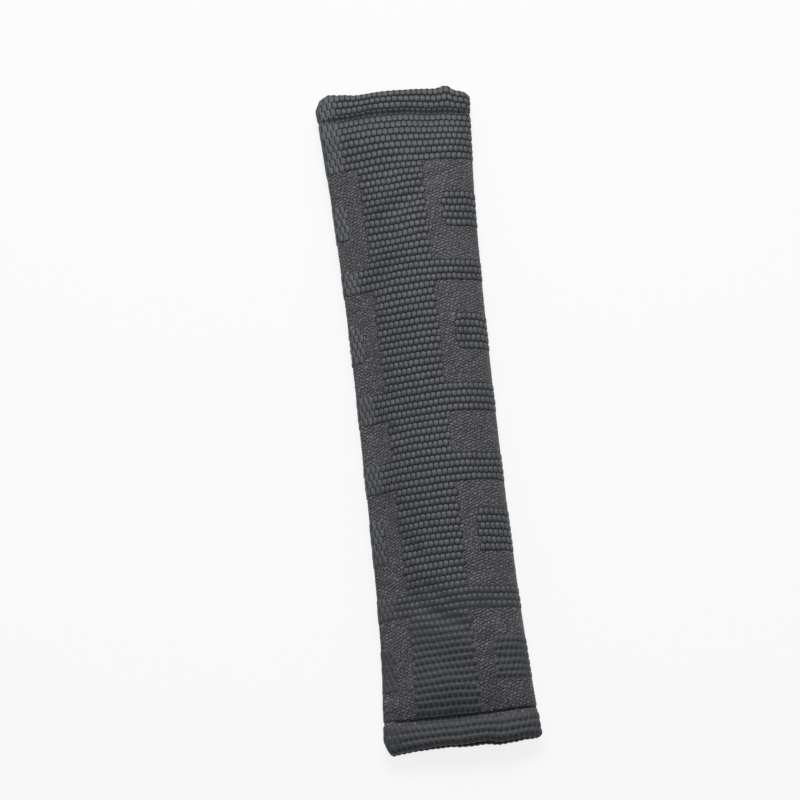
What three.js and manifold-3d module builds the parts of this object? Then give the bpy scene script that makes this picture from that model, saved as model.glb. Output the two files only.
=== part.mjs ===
// A seat belt shoulder pad: one padded sheet, folded along its length round the belt and closed along
// the other long edge by a hook strip and a loop strip. Millimetres, +Z up, +Y along the belt, the fold
// on the +X side. The pad lies on its back, with the middle of its back at the origin.

import * as THREE from "three";
import { mergeVertices } from "three/addons/utils/BufferGeometryUtils.js";
import Module from "manifold-3d";

const wasm = await Module();
wasm.setup();

// Outline of the closed pad
const padLength = 300;
const endWidth = 67;
const waistInset = 4.2; // how far each long side is pulled in at mid-length
const crownInset = 37; // from the closing edge to the highest line of the pad
const cornerRadius = 4;
const endNose = 1.6; // how far the round of an end or a long edge reaches

// Layers of the padded sheet
const coverThickness = 0.9;
const foamThickness = 2.6;
const liningThickness = 0.5;
const layerGap = 0.3;
const hemThickness = 2.6; // the cover turned in on itself
const endHem = 11.5;
const edgeHem = 2.5;

// Fastener strips
const stripThickness = 0.9;
const stripWidth = 10;
const stripMeeting = 0.5; // gap between the hook strip and the loop strip
const stripEndInset = 20; // from the pad's end to the end of a strip

// Belt tunnel
const tunnelHeight = 7.3; // at mid-length, under the crown
const tunnelMouthHeight = 5.6; // at the two ends
const hemMeeting = 0.9; // gap between the two flaps at the closing corners
const hemLift = 2.2; // the thin ends stand this far off the table
const foldReach = 9; // how far the flat back stops short of the fold

// How far from the end seams the padding takes to fill out
const liftReach = 24; // the back comes down to the table
const thicknessReach = 18; // the sheet gets its full thickness
const plumpReach = 42; // the tunnel opens to its full height
const edgeRamp = 14; // the padding also thins towards the closing edge over this width

// Weave: staggered ridges, each one the size of two rows of floats, and flat fields of finer weave
// that make the figure
const ridgeCount = 44; // between the end seams
const ridgeHeight = 0.5;
const ridgeStep = 4.4; // from one ridge to its neighbour in the next file, across the sheet
const fineFieldDrop = 0.15;
const seamGroove = 0.7; // how deep the end seams draw the cover in
const figureRepeat = 66;
const figureOffset = 39;
const frameWidth = 37;
const frameBar = 7.5;
const frameLength = 46;
const frameBlockLength = 18;
const plainFieldLength = 18;
const frameSpacing = 10;
const plainSpacing = 13;

const halfLength = padLength / 2;
const seamAt = halfLength - endHem;
const stripHalfLength = halfLength - stripEndInset;
const fullThickness = coverThickness + foamThickness + liningThickness + 2 * layerGap;
const stripDepth = layerGap + stripThickness;

// Rises steeply from 0 at the end seams and is 1 from the given reach on
function filling(y, reach) {
  const inside = (seamAt - Math.abs(y)) / reach;
  return Math.sin((THREE.MathUtils.clamp(inside, 0, 1) * Math.PI) / 2);
}

function backHeight(y) {
  return hemLift * (1 - filling(y, liftReach));
}

function crownHeight(y) {
  const thickness = THREE.MathUtils.lerp(hemThickness, fullThickness, filling(y, thicknessReach));
  const opening = THREE.MathUtils.lerp(tunnelMouthHeight, tunnelHeight, filling(y, plumpReach));
  return backHeight(y) + 2 * thickness + opening;
}

function closingHeight(y) {
  const inStrips = THREE.MathUtils.smoothstep(-Math.abs(y), -seamAt, -stripHalfLength);
  const meeting = THREE.MathUtils.lerp(hemMeeting, 2 * stripDepth + stripMeeting, inStrips);
  return backHeight(y) + 2 * hemThickness + meeting;
}

// The outer face of the folded sheet at one place along the length, as points from the upper flap's
// closing edge over the crown, round the fold and back along the flat back
const sectionSteps = 24;

function sectionAt(y) {
  const along = y / halfLength;
  const halfWidth = endWidth / 2 - waistInset * (1 - along * along);
  const back = backHeight(y);
  const crown = crownHeight(y);
  const closing = closingHeight(y);
  const foldHeight = (back + crown) / 2 - 0.04 * (crown - back);
  const crownX = crownInset - halfWidth;
  const rise = crown - closing;
  const curves = [
    new THREE.CubicBezierCurve(
      new THREE.Vector2(-halfWidth, closing),
      new THREE.Vector2(-halfWidth + 0.32 * crownInset, closing + 0.42 * rise),
      new THREE.Vector2(-halfWidth + 0.65 * crownInset, crown),
      new THREE.Vector2(crownX, crown),
    ),
    new THREE.CubicBezierCurve(
      new THREE.Vector2(crownX, crown),
      new THREE.Vector2(crownX + 0.72 * (halfWidth - crownX), crown),
      new THREE.Vector2(halfWidth, foldHeight + 0.66 * (crown - foldHeight)),
      new THREE.Vector2(halfWidth, foldHeight),
    ),
    new THREE.CubicBezierCurve(
      new THREE.Vector2(halfWidth, foldHeight),
      new THREE.Vector2(halfWidth, foldHeight - 0.56 * (foldHeight - back)),
      new THREE.Vector2(halfWidth - 0.44 * foldReach, back),
      new THREE.Vector2(halfWidth - foldReach, back),
    ),
    new THREE.LineCurve(
      new THREE.Vector2(halfWidth - foldReach, back),
      new THREE.Vector2(-halfWidth, back),
    ),
  ];
  const points = [];
  for (const curve of curves) {
    const steps = curve.isLineCurve ? 2 : sectionSteps;
    const stretch = curve.getPoints(steps);
    points.push(...(points.length ? stretch.slice(1) : stretch));
  }
  const lengths = [0];
  for (let i = 1; i < points.length; i++) {
    lengths.push(lengths[i - 1] + points[i].distanceTo(points[i - 1]));
  }
  return { points, lengths, total: lengths[lengths.length - 1] };
}

// The sheet is laid out flat in across (from the upper closing edge to the lower one) and y
const sheetWidth = sectionAt(0).total;

const sections = new Map();

function placed(across, depth, y) {
  if (!sections.has(y)) sections.set(y, sectionAt(y));
  const { points, lengths, total } = sections.get(y);
  const target = (across / sheetWidth) * total;
  let i = 1;
  while (i < points.length - 1 && lengths[i] < target) i++;
  const from = points[i - 1];
  const to = points[i];
  const part = (target - lengths[i - 1]) / (lengths[i] - lengths[i - 1]);
  const tangentAt = (k) => {
    const before = points[Math.max(k - 1, 0)];
    const after = points[Math.min(k + 1, points.length - 1)];
    return after.clone().sub(before).normalize();
  };
  const tangent = tangentAt(i - 1).lerp(tangentAt(i), part).normalize();
  const x = from.x + part * (to.x - from.x) + depth * tangent.y;
  const z = from.y + part * (to.y - from.y) - depth * tangent.x;
  return new THREE.Vector3(x, y, z);
}

function sheetThickness(across, y) {
  const fromEdge = Math.min(across, sheetWidth - across);
  const padded = THREE.MathUtils.lerp(
    hemThickness,
    fullThickness,
    THREE.MathUtils.clamp(fromEdge / edgeRamp, 0, 1),
  );
  return THREE.MathUtils.lerp(hemThickness, padded, filling(y, thicknessReach));
}

// Fields of finer weave: frames round a block of floats, two at each end and a plain field between
const fieldPitch = frameLength + frameSpacing;
const firstFrameAt = plainFieldLength / 2 + plainSpacing + frameLength / 2;

function isFine(across, y) {
  const inRepeat = THREE.MathUtils.euclideanModulo(across - figureOffset, figureRepeat);
  if (inRepeat > frameWidth) return false;
  const distance = Math.abs(y);
  if (distance < plainFieldLength / 2) return true;
  const fromFrame = Math.min(
    Math.abs(distance - firstFrameAt),
    Math.abs(distance - firstFrameAt - fieldPitch),
  );
  if (fromFrame > frameLength / 2) return false;
  const inBar = inRepeat < frameBar || inRepeat > frameWidth - frameBar;
  return inBar || fromFrame > frameBlockLength / 2;
}

// Closes a thin folded ring: its outer and inner sides are zipped together, the short way each time
function capTriangles(ring) {
  const triangles = [];
  let i = 0;
  let j = ring.length - 1;
  while (j - i > 1) {
    if (ring[i + 1].distanceTo(ring[j]) < ring[i].distanceTo(ring[j - 1])) {
      triangles.push([i, i + 1, j]);
      i++;
    } else {
      triangles.push([i, j - 1, j]);
      j--;
    }
  }
  return triangles;
}

function ringGeometry(rings) {
  const count = rings[0].length;
  const positions = rings.flat().flatMap((p) => [p.x, p.y, p.z]);
  const index = [];
  for (let i = 0; i + 1 < rings.length; i++) {
    for (let j = 0; j < count; j++) {
      const a = i * count + j;
      const b = i * count + ((j + 1) % count);
      index.push(a, b, a + count, b, b + count, a + count);
    }
  }
  const lastRing = (rings.length - 1) * count;
  for (const [i, j, k] of capTriangles(rings[0])) index.push(j, i, k);
  for (const [i, j, k] of capTriangles(rings[rings.length - 1])) {
    index.push(lastRing + i, lastRing + j, lastRing + k);
  }
  const geometry = new THREE.BufferGeometry();
  geometry.setAttribute("position", new THREE.Float32BufferAttribute(positions, 3));
  geometry.setIndex(index);
  return geometry;
}

function solidOf(geometry) {
  const merged = mergeVertices(geometry, 1e-5);
  const vertProperties = new Float32Array(merged.attributes.position.array);
  const triVerts = new Uint32Array(merged.index.array);
  return new wasm.Manifold(new wasm.Mesh({ numProp: 3, vertProperties, triVerts }));
}

function geometryOf(solid) {
  const mesh = solid.getMesh();
  const geometry = new THREE.BufferGeometry();
  geometry.setAttribute("position", new THREE.BufferAttribute(mesh.vertProperties, 3));
  geometry.setIndex(new THREE.BufferAttribute(mesh.triVerts, 1));
  geometry.computeVertexNormals();
  return geometry;
}

// Places across the sheet that a loft needs: the ends, and steps no longer than the one given
function spread(from, to, step) {
  const count = Math.max(1, Math.ceil((to - from) / step));
  return Array.from({ length: count + 1 }, (_, i) => from + ((to - from) * i) / count);
}

// Stations along the length, closer together near the end seams
function stations(reach) {
  const half = [0, 0.3, 0.55, 0.72, 0.83, 0.9, 0.95, 0.98, 1].map((share) => share * reach);
  return [...half.slice(1).reverse().map((y) => -y), ...half];
}

// Columns across a layer: closer together round the fold than on the two flaps
const backStart = sheetWidth - (endWidth - 2 * waistInset - foldReach);
const foldStart = backStart - 1.7 * foldReach;
const foldStep = 2.6;
const ridgesEnd = backStart - foldReach; // under the fold the cover is pressed flat

function layerColumns(from, to, step) {
  if (to < foldStart || from > backStart) return spread(from, to, step);
  return [
    ...spread(from, foldStart, step),
    ...spread(foldStart, backStart, foldStep).slice(1),
    ...spread(backStart, to, 2 * step).slice(1),
  ];
}

// One layer of the sheet between two depths, folded with it
function layer(from, to, reach, outerDepth, innerDepth) {
  const columns = layerColumns(from, to, 7);
  const rings = stations(reach).map((y) => [
    ...columns.map((across) => placed(across, outerDepth(across, y), y)),
    ...columns.toReversed().map((across) => placed(across, innerDepth(across, y), y)),
  ]);
  return ringGeometry(rings);
}

const noseAngles = [0, 0.5].map((turn) => (turn * Math.PI) / 2);

// Stations of the outer face: two to a ridge between the seams, a groove at each seam, plain hems
function outerStations() {
  const ridgeStations = spread(-seamAt, seamAt, seamAt / ridgeCount).slice(1, -1);
  const half = [
    { y: seamAt, drop: seamGroove },
    { y: seamAt + 0.2 * endHem, drop: 0 },
    { y: halfLength - endNose, drop: 0 },
    ...noseAngles.toReversed().map((turn) => ({
      y: halfLength - endNose * (1 - Math.cos(turn)),
      drop: 0,
      share: Math.sin(turn) * 0.9 + 0.1,
    })),
  ];
  return [
    ...half.toReversed().map((station) => ({ ...station, y: -station.y })),
    ...ridgeStations.map((y, row) => ({ y, row })),
    ...half,
  ];
}

// A corner of the sheet is rounded by moving its columns in from the closing edges
function roundedCorner(across, y) {
  const past = Math.max(0, (Math.abs(y) - halfLength + cornerRadius) / cornerRadius);
  const cut = cornerRadius * (1 - Math.sqrt(Math.max(0, 1 - past * past)));
  const fromEdge = Math.min(across, sheetWidth - across);
  const shift = cut * Math.max(0, 1 - fromEdge / (3 * cornerRadius));
  return across < sheetWidth / 2 ? across + shift : across - shift;
}

function coverBlank() {
  const columns = layerColumns(endNose, sheetWidth - endNose, ridgeStep);
  const innerColumns = layerColumns(endNose, sheetWidth - endNose, 7).reverse();
  const rings = outerStations().map(({ y, row, drop = 0, share = 1 }) => {
    const at = (across, depthShare, rise = 0) => {
      const depth = sheetThickness(across, y) * (0.5 + (depthShare - 0.5) * share) - rise;
      return placed(roundedCorner(across, y), depth, y);
    };
    const riseAt = (across, column) => {
      if (row === undefined) return -drop;
      if (across > ridgesEnd) return 0;
      if (isFine(across, y)) return -fineFieldDrop;
      return (row + column) % 2 ? ridgeHeight : 0;
    };
    const nose = noseAngles.map((turn) => ({
      across: endNose * (1 - Math.cos(turn)),
      side: Math.sin(turn) / 2,
    }));
    return [
      ...nose.map(({ across, side }) => at(across, 0.5 - side)),
      ...columns.map((across, column) => at(across, 0, riseAt(across, column))),
      ...nose.toReversed().map(({ across, side }) => at(sheetWidth - across, 0.5 - side)),
      ...nose.slice(1).map(({ across, side }) => at(sheetWidth - across, 0.5 + side)),
      ...innerColumns.map((across) => at(across, 1)),
      ...nose.slice(1).toReversed().map(({ across, side }) => at(across, 0.5 + side)),
    ];
  });
  return solidOf(ringGeometry(rings));
}

function outerCover() {
  const pocket = layer(
    edgeHem,
    sheetWidth - edgeHem,
    seamAt,
    () => coverThickness,
    (across, y) => sheetThickness(across, y) + 1,
  );
  return geometryOf(coverBlank().subtract(solidOf(pocket)));
}

function foamPad() {
  const inset = edgeHem + layerGap;
  return layer(
    inset,
    sheetWidth - inset,
    seamAt - layerGap,
    () => coverThickness + layerGap,
    (across, y) => sheetThickness(across, y) - liningThickness - layerGap,
  );
}

function innerLining() {
  const inset = edgeHem + layerGap;
  return layer(
    inset,
    sheetWidth - inset,
    seamAt - layerGap,
    (across, y) => sheetThickness(across, y) - liningThickness,
    (across, y) => sheetThickness(across, y),
  );
}

function strip(from) {
  return layer(
    from,
    from + stripWidth,
    stripHalfLength,
    (across, y) => sheetThickness(across, y) + layerGap,
    (across, y) => sheetThickness(across, y) + stripDepth,
  );
}

function piece(name, geometry, color, roughness) {
  const material = new THREE.MeshStandardMaterial({ color, roughness, metalness: 0 });
  const mesh = new THREE.Mesh(geometry, material);
  mesh.name = name;
  return mesh;
}

const stripInset = edgeHem + layerGap;

const pad = new THREE.Group();
pad.add(
  piece("outer_cover", outerCover(), 0x45474a, 0.85),
  piece("foam_pad", foamPad(), 0x8a8a86, 0.95),
  piece("inner_lining", innerLining(), 0x1d1e20, 0.6),
  piece("loop_strip", strip(stripInset), 0x202123, 0.95),
  piece("hook_strip", strip(sheetWidth - stripInset - stripWidth), 0x18191a, 0.7),
);

export default pad;
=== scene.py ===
import math

import bpy
import numpy as np
from bpy.props import FloatProperty, FloatVectorProperty, PointerProperty
from mathutils import Matrix, Vector


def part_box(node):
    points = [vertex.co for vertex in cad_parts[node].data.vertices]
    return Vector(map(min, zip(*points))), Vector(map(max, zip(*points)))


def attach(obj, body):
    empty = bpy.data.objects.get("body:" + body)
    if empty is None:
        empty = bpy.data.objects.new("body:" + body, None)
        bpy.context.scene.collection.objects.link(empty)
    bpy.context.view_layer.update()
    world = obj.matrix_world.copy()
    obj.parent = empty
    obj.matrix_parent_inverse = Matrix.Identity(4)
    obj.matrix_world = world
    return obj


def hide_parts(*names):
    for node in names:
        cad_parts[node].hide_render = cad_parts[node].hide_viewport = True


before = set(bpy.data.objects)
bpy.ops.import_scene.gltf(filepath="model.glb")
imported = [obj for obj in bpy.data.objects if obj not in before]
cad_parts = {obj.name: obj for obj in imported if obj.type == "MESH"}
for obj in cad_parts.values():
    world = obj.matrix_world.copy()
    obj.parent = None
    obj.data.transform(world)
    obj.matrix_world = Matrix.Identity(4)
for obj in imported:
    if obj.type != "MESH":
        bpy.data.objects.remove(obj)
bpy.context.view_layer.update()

bl_info = {
    "name": "Seat belt shoulder pad",
    "version": (1, 0, 0),
    "blender": (4, 5, 0),
    "location": "View3D > Sidebar > Shoulder pad",
    "description": "Makes a folded, padded seat belt cover in woven cloth, with lining and fastener strips",
    "category": "Add Mesh",
}

BODY = "root"
MILLIMETRE = 0.001
HAIR = 0.00002  # a step to either side of a border in the weave
PAD_LENGTH = (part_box("outer_cover")[1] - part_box("outer_cover")[0]).y


# Sizes and colours


def linear(hex_colour):
    """An sRGB hex colour as the linear values that Blender's sockets and colour properties hold."""
    channels = [int(hex_colour[i : i + 2], 16) / 255 for i in (0, 2, 4)]
    return [c / 12.92 if c <= 0.04045 else ((c + 0.055) / 1.055) ** 2.4 for c in channels]


def length_property(name, description, default):
    return FloatProperty(
        name=name, description=description, default=default, min=0, precision=5,
        subtype="DISTANCE", unit="LENGTH",
    )


def colour_property(name, description, hex_colour):
    return FloatVectorProperty(
        name=name, description=description, default=linear(hex_colour), size=3, min=0, max=1,
        subtype="COLOR",
    )


class PadSizes(bpy.types.PropertyGroup):
    """Sizes of the folded pad, the same as those of its solids."""

    pad_length: length_property("Pad length", "Along the belt, end to end", PAD_LENGTH)
    end_width: length_property("End width", "Across the folded pad at its ends", 0.067)
    waist_inset: length_property("Waist inset", "How much narrower each side is at the middle", 0.0042)
    crown_inset: length_property("Crown inset", "From the closing edge to the highest line", 0.037)
    corner_radius: length_property("Corner radius", "Rounding of the four cut corners", 0.0040)
    hem_thickness: length_property("Hem thickness", "Of the sheet at its hems", 0.0026)
    full_thickness: length_property("Full thickness", "Of the sheet over the foam", 0.0046)
    lining_thickness: length_property("Lining thickness", "Of the lining cloth", 0.0005)
    cover_thickness: length_property("Cover thickness", "Of the woven cover", 0.0009)
    layer_gap: length_property("Layer gap", "Between cover, foam and lining", 0.0003)
    end_hem: length_property("End hem", "From an end to its seam", 0.0115)
    edge_hem: length_property("Edge hem", "Cover turned in along a long edge", 0.0025)
    edge_ramp: length_property("Edge ramp", "Where the foam reaches its full thickness", 0.014)
    tunnel_height: length_property("Tunnel height", "Room for the belt at the middle", 0.0073)
    mouth_height: length_property("Mouth height", "Room for the belt at the ends", 0.0056)
    hem_meeting: length_property("Hem meeting", "Gap between the long edges at the ends", 0.0009)
    strip_meeting: length_property("Strip meeting", "Gap between the hook strip and the loop strip", 0.0005)
    hem_lift: length_property("Hem lift", "How far the ends stand off the table", 0.0022)
    fold_reach: length_property("Fold reach", "How far the fold's curve reaches under", 0.009)
    lift_reach: length_property("Lift reach", "From the seam to where the pad lies flat", 0.024)
    thickness_reach: length_property("Thickness reach", "From the seam to full thickness", 0.018)
    plump_reach: length_property("Plump reach", "From the seam to full height", 0.042)
    strip_width: length_property("Strip width", "Of the hook strip and the loop strip", 0.010)
    strip_thickness: length_property("Strip thickness", "Of the hook strip and the loop strip", 0.0009)
    strip_end_inset: length_property("Strip end inset", "From the pad's end to a strip's end", 0.020)


class WeaveSizes(bpy.types.PropertyGroup):
    """Sizes of the cover's weave, counted in the cloth, and where the painted shade and glint at the near end
    come in.
    """

    float_pitch: length_property("Float pitch", "From one weft float to the next across the pad", 0.0022)
    course_pitch: length_property("Course pitch", "From one row of floats to the next", 0.00319)
    float_height: length_property("Float height", "How far a float stands out of the ground", 0.00046)
    strand_pitch: length_property("Strand pitch", "Between the fine weave's slanted strands", 0.0012)
    strand_length: length_property("Strand length", "Of one short slanted strand", 0.0020)
    strand_height: length_property("Strand height", "How far a slanted strand stands out", 0.00018)
    strand_slant: FloatProperty(
        name="Strand slant", description="Of the fine weave's strands", default=math.radians(24),
        subtype="ANGLE",
    )
    figure_repeat: length_property("Figure repeat", "From one row of frames to the next, across", 0.0627)
    figure_offset: length_property("Figure offset", "From the closing edge to the first frame", 0.039)
    frame_width: length_property("Frame width", "Of one frame of fine weave", 0.037)
    frame_bar: length_property("Frame bar", "Width of a frame's side bars", 0.0075)
    frame_length: length_property("Frame length", "Of one frame along the cloth", 0.0470)
    frame_block: length_property("Frame block", "Length of the coarse block inside a frame", 0.018)
    plain_field: length_property("Plain field", "Length of the plain field of fine weave", 0.018)
    frame_spacing: length_property("Frame spacing", "Coarse bar between two frames", 0.0105)
    plain_spacing: length_property("Plain spacing", "Coarse bar beside the plain field", 0.013)
    figure_shift: length_property("Figure shift", "From the plain field's middle to the pad's", 0.01235)
    rib_reach: length_property("Rib reach", "From the closing edge, where floats read as ribs", 0.0090)
    rib_fade: length_property("Rib fade", "How far the ribs take to open into single floats", 0.0030)
    # Where the painted shade and painted glint of the near end begin along the pad, and how far they take to
    # come in full.
    near_shade_start: FloatProperty(
        name="Near shade start", description="Where along the pad the painted near-end shade and glint begin", default=-0.075,
        unit="LENGTH",
    )
    near_shade_fade: length_property("Near shade fade", "How far the painted near-end shade and glint take to come in full", 0.035)
    seam_groove: length_property("Seam groove", "How deep a seam pulls the cloth in", 0.0013)
    stitch_pitch: length_property("Stitch pitch", "From one stitch to the next", 0.0034)
    thread: length_property("Thread", "Diameter of the sewing thread", 0.0005)


class PadColours(bpy.types.PropertyGroup):
    """Colours of the pad's cloths, as they are in plain light, but for the ground yarn, which is partly
    painted shade, and the near end's painted glint.
    """

    float_yarn: colour_property("Float yarn", "The long floats of the coarse weave", "474B50")
    fine_yarn: colour_property("Fine yarn", "The short strands of the fine weave", "5E5C62")
    # The ground yarn's near-black is partly the ground cloth's own colour and partly painted shade between
    # the floats.
    ground_yarn_and_shade: colour_property("Ground yarn", "The ground cloth between the floats, darkened partly as painted shade", "0A0B0D")
    # A painted glint: the pale net that lightens the ground between the floats at the near end.
    near_end_painted_glint: colour_property("Near end painted glint", "Painted glint between the floats at the shaded near end", "505257")
    lining: colour_property("Lining", "The smooth lining inside the fold", "26272B")
    foam: colour_property("Foam", "The foam sheet", "8E8E8A")
    hooks: colour_property("Hooks", "The hook strip", "1C1D1F")
    loops: colour_property("Loops", "The loop strip", "242527")
    sewing: colour_property("Sewing thread", "The thread of all seams", "232428")
    paper: colour_property("Paper", "The white floor", "FCFCFC")


# Numbers that stand for nature: the same for the same place, on every run

# Each unevenness has its own key, so that no two of them share their numbers.
YARN_SHIFT, YARN_RUN, FLOAT_RISE, YARN_SHAKE, STRAND_RISE, PUCKERS, SAGS = 5, 6, 7, 9, 11, 22, 23
FOAM_CELLS, LINING_RIPPLES, CURL_PLACES, CURL_TURNS, STITCH_LEANS = 31, 41, 51, 52, 61


def scatter(*keys):
    """A number from 0 to 1 for each set of whole numbers in keys."""
    mixed = np.zeros(np.broadcast(*keys).shape, dtype=np.uint64)
    for key, factor in zip(keys, (73856093, 19349663, 83492791)):
        mixed = mixed ^ (np.asarray(key).astype(np.int64).astype(np.uint64) * np.uint64(factor))
    mixed = (mixed ^ (mixed >> np.uint64(13))) * np.uint64(1274126177)
    mixed = mixed ^ (mixed >> np.uint64(16))
    return (mixed & np.uint64(0xFFFFFF)).astype(float) / 0xFFFFFF


def ease(value):
    value = np.clip(value, 0, 1)
    return value * value * (3 - 2 * value)


def drift(across, along, size, layer):
    """Smooth unevenness from -1 to 1, with swells of about the given size."""
    u, v = across / size, along / size
    i, j = np.floor(u), np.floor(v)
    fu, fv = ease(u - i), ease(v - j)
    low = scatter(i, j, layer) * (1 - fu) + scatter(i + 1, j, layer) * fu
    high = scatter(i, j + 1, layer) * (1 - fu) + scatter(i + 1, j + 1, layer) * fu
    return 2 * (low * (1 - fv) + high * fv) - 1


def smoothed(value, places, levels):
    """Levels given at places, joined by soft curves."""
    places, levels = np.asarray(places, float), np.asarray(levels, float)
    value = np.clip(value, places[0], places[-1])
    k = np.clip(np.searchsorted(places, value, side="right") - 1, 0, len(places) - 2)
    part = ease((value - places[k]) / (places[k + 1] - places[k]))
    return levels[k] * (1 - part) + levels[k + 1] * part


# The folded sheet


def bezier(points, steps):
    t = np.linspace(0, 1, steps)[:, None]
    a, b, c, d = (np.asarray(p, float) for p in points)
    return a * (1 - t) ** 3 + 3 * b * t * (1 - t) ** 2 + 3 * c * t * t * (1 - t) + d * t**3


class FoldedSheet:
    """Where a point of the flat, padded sheet lies once the sheet is folded round the belt.

    across is counted from the closing edge of the upper flap, round the fold, to that of the lower flap,
    along is Y, and depth goes from the cover's outer face inwards.
    """

    STATIONS = 241
    STEPS = 900
    CURVE_STEPS = (400, 400, 300)
    BACK_STEPS = 400
    FOLD_DROP = 0.04  # how far the outermost line of the fold lies under mid-height, as a share
    TURN_UNDER = 1.4  # where the sheet begins to count as underneath, in fold reaches from the flat back

    def __init__(self, sizes):
        self.sizes = sizes
        self.half = sizes.pad_length / 2
        self.seam = self.half - sizes.end_hem
        self.strip_half = self.half - sizes.strip_end_inset
        self.width = self.outline(0.0)[1]
        # The foam and the lining reach this far, and the strips start at the inset.
        self.inset = sizes.edge_hem + sizes.layer_gap
        self.inner_half = self.seam - sizes.layer_gap
        self.stations = np.linspace(-self.half, self.half, self.STATIONS)
        self.table = np.stack([self.evened(y) for y in self.stations])

    def filling(self, y, reach):
        """0 at the end seams, and 1 from the given reach inwards."""
        return np.sin(np.clip((self.seam - np.abs(y)) / reach, 0, 1) * math.pi / 2)

    def outline(self, y):
        """The cover's outer face at y as points (x, z), and its length."""
        s = self.sizes
        back = s.hem_lift * (1 - self.filling(y, s.lift_reach))
        padding = (s.full_thickness - s.hem_thickness) * self.filling(y, s.thickness_reach)
        room = s.mouth_height + (s.tunnel_height - s.mouth_height) * self.filling(y, s.plump_reach)
        crown = back + 2 * (s.hem_thickness + padding) + room
        in_strips = ease((self.seam - abs(y)) / (self.seam - self.strip_half))
        strips = 2 * (s.layer_gap + s.strip_thickness) + s.strip_meeting
        closing = back + 2 * s.hem_thickness + s.hem_meeting + (strips - s.hem_meeting) * in_strips
        side = s.end_width / 2 - s.waist_inset * (1 - (y / self.half) ** 2)
        fold = (back + crown) / 2 - self.FOLD_DROP * (crown - back)
        crown_x = s.crown_inset - side
        rise = crown - closing
        # From the closing edge up to the crown, down to the fold, and under to the flat back. The shares of
        # the curves' handles are those of the solids.
        curves = (
            ((-side, closing), (-side + 0.32 * s.crown_inset, closing + 0.42 * rise),
             (-side + 0.65 * s.crown_inset, crown), (crown_x, crown)),
            ((crown_x, crown), (crown_x + 0.72 * (side - crown_x), crown),
             (side, fold + 0.66 * (crown - fold)), (side, fold)),
            ((side, fold), (side, fold - 0.56 * (fold - back)),
             (side - 0.44 * s.fold_reach, back), (side - s.fold_reach, back)),
        )
        points = np.concatenate([
            *(bezier(handles, steps)[:-1] for handles, steps in zip(curves, self.CURVE_STEPS)),
            np.linspace([side - s.fold_reach, back], [-side, back], self.BACK_STEPS),
        ])
        return points, np.linalg.norm(np.diff(points, axis=0), axis=1).sum()

    def evened(self, y):
        """Position and inward direction at even steps round the section."""
        points, _ = self.outline(y)
        run = np.concatenate([[0], np.cumsum(np.linalg.norm(np.diff(points, axis=0), axis=1))])
        steps = np.linspace(0, run[-1], self.STEPS)
        x, z = np.interp(steps, run, points[:, 0]), np.interp(steps, run, points[:, 1])
        tangent = np.stack([np.gradient(x), np.gradient(z)], axis=1)
        tangent /= np.linalg.norm(tangent, axis=1)[:, None]
        return np.stack([x, z, tangent[:, 1], -tangent[:, 0]], axis=1)

    def at(self, across, along):
        """x, z and the inward direction's x and z, where the sheet's outer face is."""
        u = np.clip(across / self.width, 0, 1) * (self.STEPS - 1)
        v = np.clip((along + self.half) / (2 * self.half), 0, 1) * (self.STATIONS - 1)
        i = np.minimum(u.astype(int), self.STEPS - 2)
        j = np.minimum(v.astype(int), self.STATIONS - 2)
        fu, fv = (u - i)[..., None], (v - j)[..., None]
        near = self.table[j, i] * (1 - fu) + self.table[j, i + 1] * fu
        far = self.table[j + 1, i] * (1 - fu) + self.table[j + 1, i + 1] * fu
        return near * (1 - fv) + far * fv

    def folded(self, across, depth, along):
        """Points in the row frame."""
        across, depth, along = np.broadcast_arrays(across, depth, along)
        found = self.at(across, along)
        x = found[..., 0] + depth * found[..., 2]
        z = found[..., 1] + depth * found[..., 3]
        return np.stack([x, along, z], axis=-1)

    def thickness(self, across, along):
        s = self.sizes
        from_edge = np.clip(np.minimum(across, self.width - across) / s.edge_ramp, 0, 1)
        full = s.hem_thickness + (s.full_thickness - s.hem_thickness) * from_edge
        return s.hem_thickness + (full - s.hem_thickness) * self.filling(along, s.thickness_reach)

    def underneath(self, across):
        """1 where the sheet lies on the table, 0 on its upper flap."""
        s = self.sizes
        back_start = self.width - (s.end_width - 2 * s.waist_inset - s.fold_reach)
        return ease((across - (back_start - self.TURN_UNDER * s.fold_reach)) / s.fold_reach)

    def inner_grid(self, columns, rows):
        """Places across and along, over the part of the sheet inside its hems and end seams."""
        across = np.linspace(self.inset, self.width - self.inset, columns)
        return np.meshgrid(across, np.linspace(-self.inner_half, self.inner_half, rows))


# The cover's weave


def fine_weave(weave, across, along):
    """True where the cloth has its fine weave: a plain field and the open frames on both sides of it."""
    place = np.mod(across - weave.figure_offset, weave.figure_repeat)
    in_width = place <= weave.frame_width
    from_middle = np.abs(along + weave.figure_shift)
    in_plain = from_middle < weave.plain_field / 2
    first = weave.plain_field / 2 + weave.plain_spacing + weave.frame_length / 2
    pitch = weave.frame_length + weave.frame_spacing
    from_frame = np.minimum(np.abs(from_middle - first), np.abs(from_middle - first - pitch))
    in_frame = from_frame <= weave.frame_length / 2
    in_bar = (place < weave.frame_bar) | (place > weave.frame_width - weave.frame_bar)
    return in_width & (in_plain | (in_frame & (in_bar | (from_frame > weave.frame_block / 2))))


def in_fine_cell(weave, across, along):
    """True inside the fine weave's cells. The border of two cells counts as coarse if either one is."""
    fine = True
    for side_across, side_along in ((-1, -1), (-1, 1), (1, -1), (1, 1)):
        _, _, _, _, mid_across, mid_along = bricks(
            across + side_across * HAIR, along + side_along * HAIR, weave.float_pitch, weave.course_pitch
        )
        fine = fine & fine_weave(weave, mid_across, mid_along)
    return fine


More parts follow.
